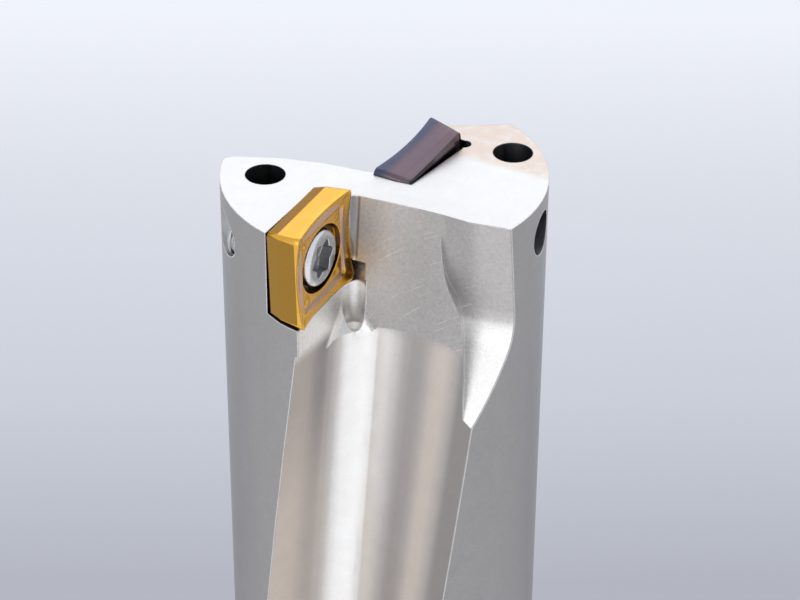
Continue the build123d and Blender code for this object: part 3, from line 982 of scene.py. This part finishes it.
def mesh_object(name: str, mesh: bmesh.types.BMesh) -> bpy.types.Object:
    """Object with a finished mesh, whose builder is freed.

    Args:
        name: The object's name.
        mesh: The mesh's builder.

    Returns:
        The object.
    """
    data = bpy.data.meshes.new(name)
    mesh.to_mesh(data)
    mesh.free()
    return new_object(name, data)


@dataclass
class RingMesh:
    """Mesh of closed rings with one number of points, joined by quads from each ring to the next."""

    rings: list[list[Vector]] = field(default_factory=list)
    sharp: set[int] = field(default_factory=set)

    def add(self, ring: Sequence[Vector], sharp: bool = False) -> None:
        """Appends a ring.

        Args:
            ring: Its points.
            sharp: Whether the surface has an edge there.
        """
        if sharp:
            self.sharp.add(len(self.rings))
        self.rings.append(list(ring))

    def build(self, name: str, place: Matrix, closed: bool) -> bpy.types.Object:
        """Makes the mesh object.

        Args:
            name: The object's name.
            place: Millimetres of the piece's own frame to metres of the drill's frame.
            closed: True joins the last ring to the first; False caps both.

        Returns:
            The object, linked to the scene.
        """
        mesh = bmesh.new()
        rows = [[mesh.verts.new(place @ point) for point in ring] for ring in self.rings]
        pairs = list(zip(rows, rows[1:])) + ([(rows[-1], rows[0])] if closed else [])
        for low, high in pairs:
            for k in range(len(low)):
                n = (k + 1) % len(low)
                mesh.faces.new((low[k], low[n], high[n], high[k]))
        if not closed:
            mesh.faces.new(list(reversed(rows[0])))
            mesh.faces.new(rows[-1])
        for index in self.sharp:
            row = rows[index]
            for k in range(len(row)):
                mesh.edges.get((row[k], row[(k + 1) % len(row)])).smooth = False
        bmesh.ops.recalc_face_normals(mesh, faces=mesh.faces)
        for face in mesh.faces:
            face.smooth = True
        return mesh_object(name, mesh)


def cone_height(wide: float, narrow: float) -> float:
    """Height of the countersunk cone between two radii."""
    return (wide - narrow) / math.tan(math.radians(COUNTERSINK))


@dataclass
class CoatedInsert:
    """Square indexable insert with a moulded chip groove; it replaces the plain CAD insert of its seat."""

    seat: Seat
    finish: HardCoating
    thickness: float = 3.65
    edge_corner: float = 0.5
    primary_height: float = 2.3
    primary_relief: float = 5.0
    primary_shares: tuple[float, ...] = (0.35, 0.7)
    secondary_relief: float = 14.0
    waist_corner: float = 0.45
    waist_bevel: float = 0.02
    back_corner: float = 0.4
    back_break: float = 0.28
    back_skew: float = 0.0
    hone: float = 0.035
    hone_round: float = 0.3
    edge_dip: float = 0.38
    land_width: float = 0.22
    land_drop: float = 0.02
    land_corner_loss: float = 0.1
    groove_mid_half: float = 3.62
    groove_corner_half: float = 3.75
    groove_mid_depth: float = 0.43
    groove_corner_depth: float = 0.28
    groove_corner: float = 0.35
    groove_sag: tuple[Span, ...] = ((0.25, 0.03), (0.5, 0.05), (0.75, 0.045), (0.93, 0.015))
    foot_sag: tuple[Span, ...] = ((0.08, 0.012), (0.35, 0.0), (0.7, 0.0), (0.93, -0.008))
    floor_half: float = 3.42
    floor_corner: float = 0.3
    floor_depth: float = 0.50
    floor_shares: tuple[float, ...] = (0.0, 0.12, 0.3, 0.5, 0.7, 0.88)
    mouth_radius: float = 3.12
    mouth_stretch: float = 1.12
    mouth_draft: float = 0.04
    mouth_break: float = 0.05
    mouth_floor: float = 1.13
    rim_radius: float = 2.68
    bore_radius: float = 2.0
    bore_chamfer: float = 0.1
    boss_inset: float = 0.62
    boss_height: float = 0.16
    boss_radius: float = 0.42
    side_points: int = 40
    corner_points: int = 14

    def flank_half(self, depth: float) -> float:
        """Half width of the flank outline.

        Args:
            depth: Depth below the rake's corner plane.

        Returns:
            Half the side's width there.
        """
        upper = min(depth, self.primary_height) * math.tan(math.radians(self.primary_relief))
        lower = max(depth - self.primary_height, 0.0) * math.tan(math.radians(self.secondary_relief))
        return INSERT_HALF - upper - lower

    def outline(self, half: Callable[[float], float], radius: float,
                height: Callable[[float], float]) -> list[Vector]:
        """Ring on a rounded square whose width and height may change from mid-side to corner.

        Args:
            half: Half width as a function of nearness to a corner, 0 to 1.
            radius: Corner radius.
            height: Height as a function of nearness to a corner.

        Returns:
            The ring's points, with the same spacing for every ring of the insert.
        """
        points = []
        centre = half(1.0) - radius
        for quarter in range(4):
            turn = Matrix.Rotation(quarter * math.pi / 2, 3, "Z")
            for k in range(self.side_points):
                along = 2 * k / self.side_points - 1
                width = half(abs(along))
                points.append(turn @ Vector((width, along * (width - radius), height(abs(along)))))
            for k in range(self.corner_points):
                angle = math.pi / 2 * k / self.corner_points
                points.append(turn @ Vector((centre + radius * math.cos(angle),
                                             centre + radius * math.sin(angle), height(1.0))))
        return points

    def level(self, half: float, radius: float, z: float) -> list[Vector]:
        """Level ring on a rounded square."""
        return self.outline(lambda _: half, radius, lambda _: z)

    def edge_height(self, near: float) -> float:
        """Height of the cutting edge, which dips between the corners."""
        return -self.edge_dip * (1 - near * near)

    def edge_ring(self, under: float, inset: float, drop: float) -> list[Vector]:
        """Ring of the honed cutting edge, inset and dropped by shares of the hone."""
        return self.outline(lambda near: self.flank_half(under - self.edge_height(near)) - self.hone * inset,
                            self.edge_corner, lambda near: self.edge_height(near) - self.hone * drop)

    def skewed(self, ring: list[Vector]) -> list[Vector]:
        """Ring of the back, lifted towards the drill's outside where the insert is ground thinner."""
        return [p + Vector((0, 0, self.back_skew * (INSERT_HALF - p.x) / (2 * INSERT_HALF))) for p in ring]

    @staticmethod
    def blended(first: list[Vector], second: list[Vector], amount: float, sink: float = 0.0) -> list[Vector]:
        """Ring part of the way from one ring to another, sunk below the straight line."""
        return [a.lerp(b, amount) - Vector((0, 0, sink)) for a, b in zip(first, second)]

    @staticmethod
    def round_like(ring: list[Vector], radius: float, z: float, stretch: float = 1.0) -> list[Vector]:
        """Circle, or ellipse stretched along x, with its points in the directions of another ring's."""
        points = [Vector((p.x, p.y, 0)).normalized() * radius for p in ring]
        return [Vector((p.x * stretch, p.y, z)) for p in points]

    def boss(self, point: Vector) -> Vector:
        """Point of the groove floor, raised on the small boss near each corner.

        Args:
            point: The point on the level floor.

        Returns:
            The raised point.
        """
        centre = self.floor_half - self.boss_inset
        away = math.hypot(abs(point.x) - centre, abs(point.y) - centre)
        return point + Vector((0, 0, self.boss_height * math.exp(-((away / self.boss_radius) ** 2) * 2.0)))

    def flanks(self, mesh: RingMesh) -> None:
        """Adds the rings from the back round the flanks to the honed cutting edge.

        Args:
            mesh: The insert's surface.
        """
        back, waist = self.flank_half(self.thickness), self.flank_half(self.primary_height)
        broken = self.thickness - self.back_break
        mesh.add(self.skewed(self.level(back - self.back_break, self.back_corner, -self.thickness)), True)
        mesh.add(self.skewed(self.level(self.flank_half(broken), self.back_corner, -broken)), True)
        for inset, drop in ((self.waist_bevel / 2, self.waist_bevel), (0.0, -self.waist_bevel)):
            mesh.add(self.level(waist - inset, self.waist_corner, -self.primary_height - drop), True)
        for share in self.primary_shares:
            depth = self.primary_height * (1 - share)
            mesh.add(self.level(self.flank_half(depth), self.waist_corner, -depth))
        for honed in ((self.hone, 0.0, 1.0), (0.0, self.hone_round, self.hone_round), (0.0, 1.0, 0.0)):
            mesh.add(self.edge_ring(*honed))

    def chip_groove(self, mesh: RingMesh) -> list[Vector]:
        """Adds the rings from the land down to the groove's floor.

        Args:
            mesh: The insert's surface.

        Returns:
            The floor's outer ring.
        """
        widening = self.groove_corner_half - self.groove_mid_half
        rising = self.groove_mid_depth - self.groove_corner_depth
        land = self.outline(lambda _: INSERT_HALF - self.land_width, self.edge_corner - self.land_corner_loss,
                            lambda near: self.edge_height(near) - self.land_drop)
        wall = self.outline(lambda near: self.groove_mid_half + widening * near ** 3, self.groove_corner,
                            lambda near: -self.groove_mid_depth + rising * near ** 2)
        floor = self.level(self.floor_half, self.floor_corner, -self.floor_depth)
        for upper, lower, sags in ((land, wall, self.groove_sag), (wall, floor, self.foot_sag)):
            mesh.add(upper)
            for amount, sink in sags:
                mesh.add(self.blended(upper, lower, amount, sink))
        return floor

    def screw_hole(self, mesh: RingMesh, floor: list[Vector]) -> None:
        """Adds the rings from the groove's floor through the countersunk hole to the back.

        Args:
            mesh: The insert's surface.
            floor: The floor's outer ring.
        """
        mouth = self.round_like(floor, self.mouth_radius, -self.floor_depth, self.mouth_stretch)
        for amount in self.floor_shares:
            mesh.add([self.boss(p) for p in self.blended(floor, mouth, amount)])
        mesh.add(mouth)
        for depth in (self.floor_depth + self.mouth_break, self.mouth_floor):
            mesh.add(self.round_like(floor, self.mouth_radius - self.mouth_draft, -depth, self.mouth_stretch),
                     True)
        foot = -self.mouth_floor - cone_height(self.rim_radius, self.bore_radius)
        for radius, z in ((self.rim_radius, -self.mouth_floor), (self.bore_radius, foot)):
            mesh.add(self.round_like(floor, radius, z), True)
        for chamfer in (0.0, self.bore_chamfer):
            mesh.add(self.skewed(self.round_like(floor, self.bore_radius + chamfer,
                                                 self.bore_chamfer - chamfer - self.thickness)), True)

    def build(self) -> bpy.types.Object:
        """Makes the insert and dresses it.

        Returns:
            The insert's object.
        """
        where = InsertFrame.of(self.seat)
        node = self.seat.label + "_insert"
        mesh = RingMesh()
        self.flanks(mesh)
        self.screw_hole(mesh, self.chip_groove(mesh))
        made = mesh.build(node + "_detailed", where.matrix(), closed=True)
        made.data.materials.append(self.finish.material(where))
        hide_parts(node)
        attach(made, ROOT_BODY)
        return made


@dataclass
class InsertScrew:
    """Countersunk screw with a six-lobed socket and a cut thread; it replaces the plain CAD screw."""

    seat: Seat
    finish: ScrewSteel
    head_radius: float = 2.68
    head_top: float = 0.36
    head_rim: float = 1.13
    edge_round: float = 0.56
    edge_steps: int = 5
    rim_break: float = 0.02
    face_shares: tuple[float, ...] = (0.35, 0.7)
    neck_radius: float = 1.62
    neck_length: float = 0.1
    thread_radius: float = 1.75
    thread_depth: float = 0.3
    thread_flat: float = 1.35
    thread_end: float = 0.2
    pitch: float = 0.6
    length: float = 9.0
    point_inset: float = 0.42
    point_length: float = 0.3
    socket_outer: float = 1.86
    socket_inner: float = 1.33
    socket_depth: float = 1.15
    socket_chamfer: float = 0.07
    socket_draft: float = 0.02
    socket_fillet: float = 0.10
    drill_point_radius: float = 0.25
    drill_point_depth: float = 0.18
    lobe_power: float = 1.15
    points: int = 288
    rings_per_turn: int = 8

    def ring(self, radius: Callable[[float], float], z: float) -> list[Vector]:
        """Ring about the screw's axis.

        Args:
            radius: Radius as a function of the direction in radians.
            z: The ring's height.

        Returns:
            The points.
        """
        angles = [2 * math.pi * k / self.points for k in range(self.points)]
        return [polar(radius(angle), angle, z) for angle in angles]

    def circle(self, radius: float, z: float) -> list[Vector]:
        """Round ring."""
        return self.ring(lambda _: radius, z)

    def lobe_radius(self, angle: float) -> float:
        """Radius of the socket's six-lobed outline in one direction."""
        share = abs((angle / (math.pi / 3) + 0.5) % 1 - 0.5) * 2
        return self.socket_inner + (self.socket_outer - self.socket_inner) * (1 - share) ** self.lobe_power

    def lobed(self, grow: float, z: float) -> list[Vector]:
        """Ring that lies outside the socket's outline by a margin."""
        return self.ring(lambda angle: self.lobe_radius(angle) + grow, z)

    def crest_radius(self, angle: float, z: float, fade: float) -> float:
        """Radius of the thread.

        Args:
            angle: Direction in radians.
            z: Height.
            fade: How deep the thread is cut there, from 0 to 1.

        Returns:
            The radius.
        """
        phase = (z / self.pitch + angle / (2 * math.pi)) % 1
        crest = 1 - abs(2 * phase - 1)
        return self.thread_radius - self.thread_depth * max(0.0, 1 - self.thread_flat * crest) * fade

    def thread(self, mesh: RingMesh, z_top: float, z_end: float) -> None:
        """Adds the rings of the screw thread from top to bottom.

        Args:
            mesh: The screw's surface.
            z_top: Where the thread starts under the head.
            z_end: Where it ends.
        """
        count = round((z_top - z_end) / self.pitch * self.rings_per_turn)
        for j in range(count + 1):
            z = z_top + (z_end - z_top) * j / count
            fade = max(min(1.0, (z_top - z) / self.pitch, (z - z_end) / self.pitch + self.thread_end), 0.0)
            mesh.add(self.ring(lambda angle: self.crest_radius(angle, z, fade), z))

    def rings(self) -> RingMesh:
        """Rings from the socket's floor over the head to the end of the thread.

        Returns:
            The screw's surface.
        """
        mesh = RingMesh()
        top, rim, end = -self.head_top, -self.head_rim, -self.head_top - self.length
        floor = top - self.socket_depth
        mesh.add(self.circle(self.drill_point_radius, floor - self.drill_point_depth))
        for grow, z in ((-self.socket_fillet, floor), (-self.socket_draft, floor + self.socket_fillet),
                        (0.0, top - self.socket_chamfer), (self.socket_chamfer, top)):
            mesh.add(self.lobed(grow, z), True)
        face = self.circle(self.head_radius - self.edge_round, top)
        for share in self.face_shares:
            mesh.add([a.lerp(b, share) for a, b in zip(self.lobed(self.socket_chamfer, top), face)])
        for step in range(self.edge_steps + 1):
            angle = math.pi / 2 * step / self.edge_steps
            mesh.add(self.circle(self.head_radius - self.edge_round * (1 - math.sin(angle)),
                                 top - self.edge_round * (1 - math.cos(angle))))
        mesh.add(self.circle(self.head_radius, rim + self.rim_break), True)
        neck = rim - cone_height(self.head_radius, self.neck_radius)
        mesh.add(self.circle(self.neck_radius, neck), True)
        self.thread(mesh, neck - self.neck_length, end + self.point_length)
        mesh.add(self.circle(self.thread_radius - self.point_inset, end), True)
        return mesh

    def build(self) -> bpy.types.Object:
        """Makes the screw and dresses it.

        Returns:
            The screw's object.
        """
        where = InsertFrame.of(self.seat)
        node = self.seat.label + "_insert_screw"
        made = self.rings().build(node + "_detailed", where.matrix(), closed=False)
        made.data.materials.append(self.finish.material(where))
        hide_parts(node)
        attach(made, ROOT_BODY)
        return made


@dataclass
class DrillBody:
    """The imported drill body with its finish."""

    finish: MachinedSteel
    node: str = "drill_body"

    def build(self) -> bpy.types.Object:
        """Dresses the CAD node.

        Returns:
            The node's object.
        """
        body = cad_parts[self.node]
        for index in range(len(body.material_slots)):
            body.material_slots[index].material = self.finish.material()
        return body


@dataclass
class Softbox:
    """Square area light aimed at the drill's tip."""

    name: str
    azimuth: float
    elevation: float
    distance: float
    width: float
    height: float
    radiance: float
    colour: Colour = (1.0, 1.0, 1.0)
    aim: Vector = field(default_factory=lambda: Vector((0, 0, 0.160)))

    def build(self) -> bpy.types.Object:
        """Places the light.

        Returns:
            The light's object.
        """
        azimuth, elevation = math.radians(self.azimuth), math.radians(self.elevation)
        away = polar(math.cos(elevation), azimuth, math.sin(elevation))
        data = bpy.data.lights.new(self.name, "AREA")
        data.shape = "RECTANGLE"
        data.size, data.size_y = self.width, self.height
        data.color = self.colour
        data.energy = self.radiance * math.pi * self.width * self.height
        lamp = new_object(self.name, data)
        lamp.location = self.aim + away * self.distance
        lamp.rotation_mode = "QUATERNION"
        lamp.rotation_quaternion = (-away).to_track_quat("-Z", "Y")
        return lamp


@dataclass
class Studio:
    """Floor, world, softboxes and camera."""

    floor_radii: tuple[float, float, float] = (0.6, 2.0, 4.0)
    floor_segments: int = 96
    world_light: Colour = (0.89, 0.895, 0.91)
    world_seen: Colour = (0.74, 0.76, 0.80)
    camera_place: Vector = field(default_factory=lambda: Vector((-0.180919, -0.096197, 0.296946)))
    camera_aim: Vector = field(default_factory=lambda: Vector((-0.004804, -0.004151, 0.169373)))
    camera_roll: float = 0.337
    camera_lens: float = 118.749
    camera_sensor: float = 36.0
    camera_clip: Span = (0.01, 20.0)
    softboxes: tuple[Softbox, ...] = (
        Softbox("front_softbox", 179.0, 19.0, 0.9, 0.56, 0.88, 1.15),
        Softbox("back_softbox", 29.0, 42.0, 1.0, 1.1, 0.5, 0.72),
    )

    def floor(self) -> bpy.types.Object:
        """Lays the floor.

        Returns:
            The floor's object.
        """
        count = self.floor_segments
        mesh = bmesh.new()
        for radius in self.floor_radii:
            bmesh.ops.create_circle(mesh, cap_ends=False, segments=count, radius=radius)
        bmesh.ops.contextual_create(mesh, geom=mesh.edges[:count])
        bmesh.ops.bridge_loops(mesh, edges=mesh.edges[:2 * count])
        bmesh.ops.bridge_loops(mesh, edges=mesh.edges[count:3 * count])
        made = mesh_object("floor", mesh)
        made.data.materials.append(PaleFloor().material())
        return made

    def world(self) -> None:
        """Sets the world: soft light for surfaces, and a pale background where it is seen or reflected."""
        world = bpy.data.worlds.new("studio")
        world.use_nodes = True
        bpy.context.scene.world = world
        g = ShaderGraph(world.node_tree)
        path = g.make("LightPath")
        seen = Value(g, path.outputs["Is Camera Ray"])
        for name in ("Is Glossy Ray", "Is Transmission Ray"):
            seen = seen.most(Value(g, path.outputs[name]))
        colour = g.blend(seen, self.world_light, self.world_seen)
        glow = g.make("Background", None, {"Color": colour, "Strength": 1.0})
        g.make("OutputWorld", None, {"Surface": glow.outputs[0]})

    def camera(self) -> bpy.types.Object:
        """Places the camera.

        Returns:
            The camera's object.
        """
        data = bpy.data.cameras.new("camera")
        data.lens, data.sensor_width, data.sensor_fit = self.camera_lens, self.camera_sensor, "HORIZONTAL"
        data.clip_start, data.clip_end = self.camera_clip
        made = new_object("camera", data)
        made.location = self.camera_place
        made.rotation_mode = "QUATERNION"
        look = (self.camera_aim - self.camera_place).to_track_quat("-Z", "Y")
        made.rotation_quaternion = look @ Quaternion((0, 0, 1), math.radians(self.camera_roll))
        bpy.context.scene.camera = made
        return made

    def build(self) -> None:
        """Makes the whole studio."""
        bpy.context.scene.view_settings.view_transform = "Standard"
        self.floor()
        self.world()
        for softbox in self.softboxes:
            softbox.build()
        self.camera()


GOLD = HardCoating(
    Slot.GOLD, base=(0.86, 0.47, 0.07), cloud=(0.90, 0.53, 0.10), edge=(0.94, 0.62, 0.20),
    groove=(0.84, 0.59, 0.46), land=(1.0, 0.52, 0.08), hollow_shade=(0.09, 0.05, 0.02))
DARK = HardCoating(
    Slot.DARK, base=(0.075, 0.09, 0.145), cloud=(0.19, 0.135, 0.155), edge=(0.15, 0.15, 0.22),
    groove=(0.10, 0.09, 0.11), land=(0.085, 0.095, 0.14), hollow_shade=(0.02, 0.02, 0.025), mottle=1.0,
    cloud_size=0.16, side_painted_shade=(0.02, 0.018, 0.03), lower_painted_shade=(0.15, 0.12, 0.14), lower_depth=3.3,
    back_shade=0.35, back_depth=3.5, depth_tint=0.8)


def main() -> None:
    """Builds the studio and dresses the drill."""
    logging.basicConfig(level=logging.INFO, format="%(name)s: %(message)s")
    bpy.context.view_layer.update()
    Studio().build()
    for piece in (
        DrillBody(MachinedSteel()),
        CoatedInsert(Seat.PERIPHERAL, GOLD),
        InsertScrew(Seat.PERIPHERAL, ScrewSteel()),
        CoatedInsert(Seat.CENTRAL, DARK, thickness=3.74, primary_height=2.6, primary_relief=6.0,
                     secondary_relief=6.0, back_break=0.04, back_skew=0.5, edge_corner=0.6,
                     waist_corner=0.6, back_corner=0.5),
        InsertScrew(Seat.CENTRAL, ScrewSteel()),
    ):
        made = piece.build()
        log.info("%s: %d faces", made.name, len(made.data.polygons))


if __name__ == "__main__":
    main()
